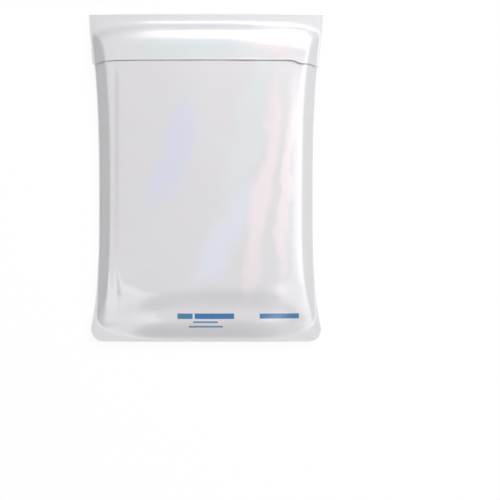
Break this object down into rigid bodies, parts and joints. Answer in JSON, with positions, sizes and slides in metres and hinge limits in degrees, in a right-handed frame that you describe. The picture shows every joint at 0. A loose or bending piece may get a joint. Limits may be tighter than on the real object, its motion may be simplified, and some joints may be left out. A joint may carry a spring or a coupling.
{
  "type": "poly mailer bag",
  "caption": "Filled and sealed poly mailer bag of white film, lying on its back, with a folded flap, welded sides and flat corner ears.",
  "frame": {"origin": "on the rest plane, below the middle of the bag's box", "axes": "+X across the bag, +Y along its length towards the folded top with the flap, +Z out of the front that carries the flap"},
  "size_m": [0.25, 0.348, 0.0431],
  "materials": {
    "white_film": "opaque white polyethylene film with a soft gloss"
  },
  "bodies": {
    "root": {"mailer_bag": "white_film"}
  },
  "joints": []
}
